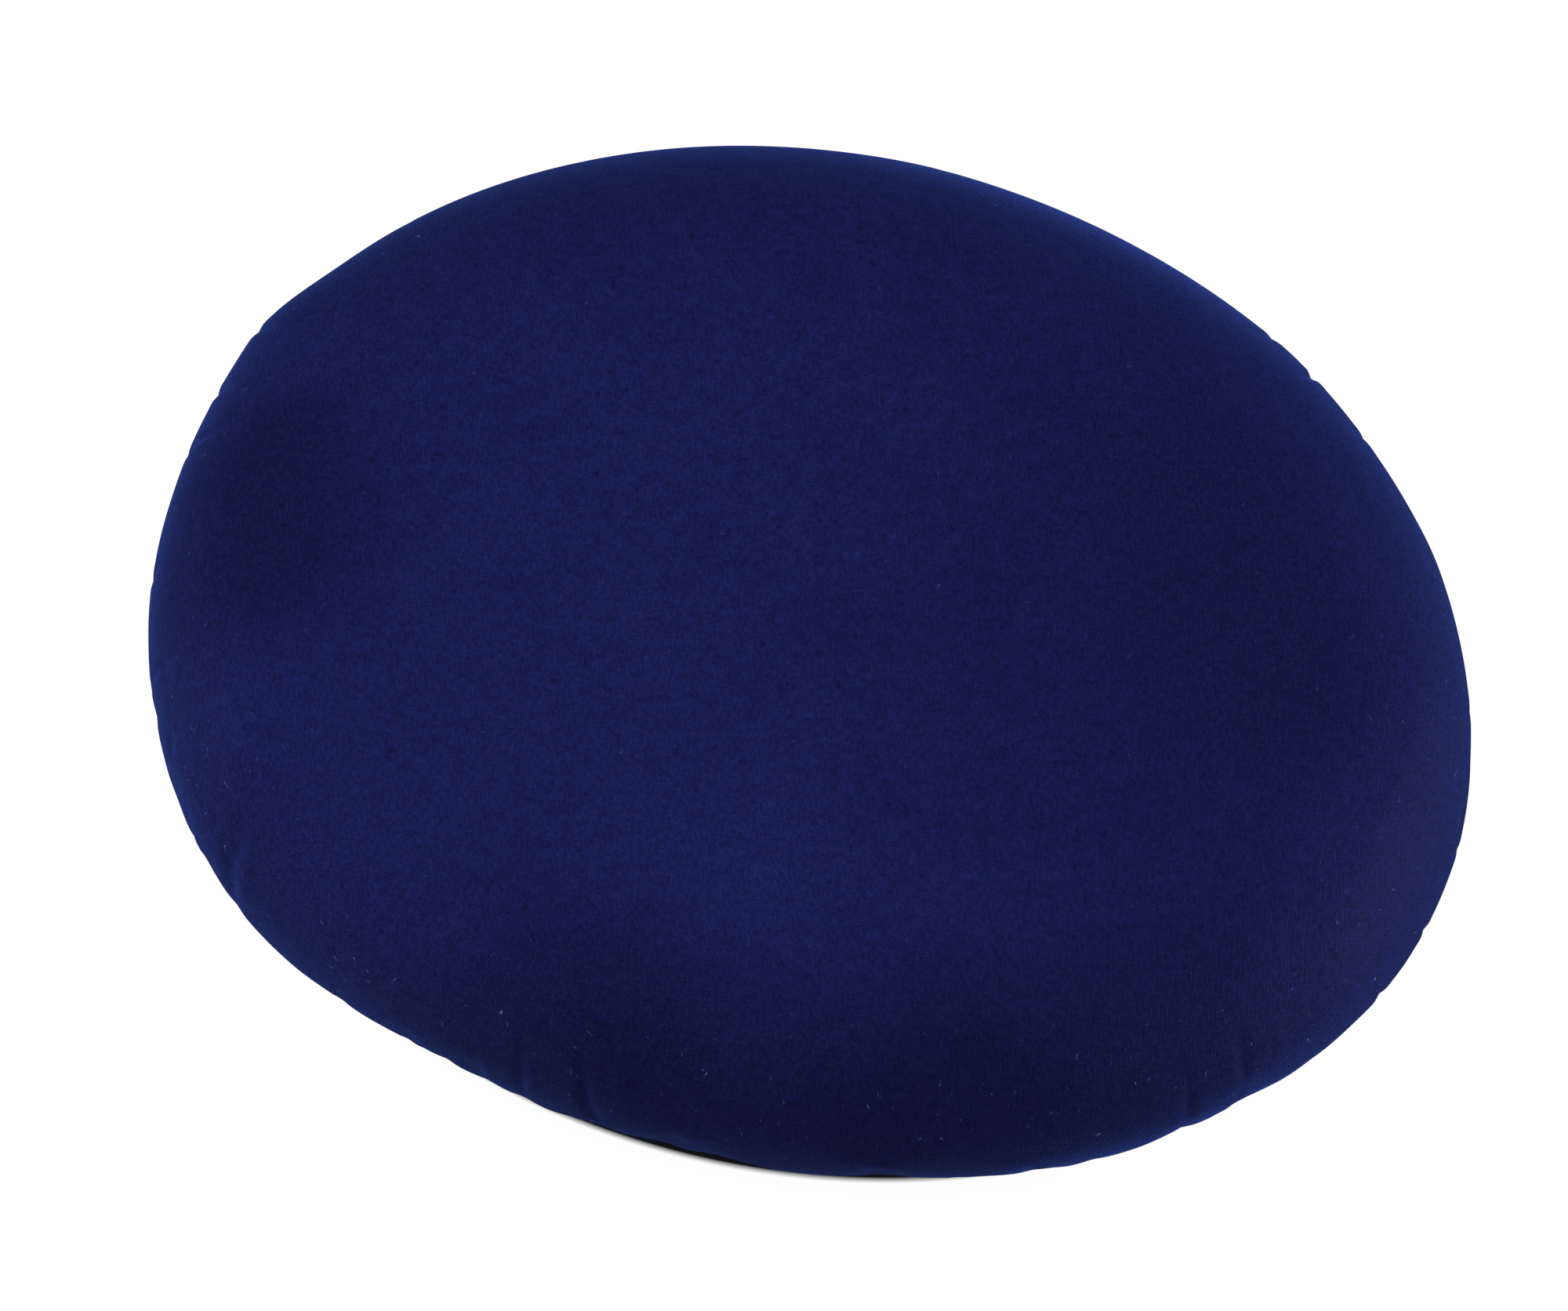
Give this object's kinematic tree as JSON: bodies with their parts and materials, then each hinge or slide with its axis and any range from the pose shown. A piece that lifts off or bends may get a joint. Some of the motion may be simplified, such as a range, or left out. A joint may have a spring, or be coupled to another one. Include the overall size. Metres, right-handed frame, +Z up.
{
  "type": "ring cushion",
  "caption": "Wide oval ring cushion in a plain navy woven cover that is drawn over the ring's hole, with rounded sides gathered in to a flat base panel.",
  "frame": {"origin": "middle of the underside, on the surface that the cushion rests on", "axes": "+X along the cushion's length, +Y across its width, +Z up"},
  "size_m": [0.457, 0.381, 0.076],
  "materials": {
    "top_cover": "plain woven navy polycotton, matt with a faint sheen at the edges",
    "base_cloth": "the same plain woven navy polycotton, laid flat"
  },
  "bodies": {
    "root": {"cushion": "top_cover", "base_panel": "base_cloth"}
  },
  "joints": []
}
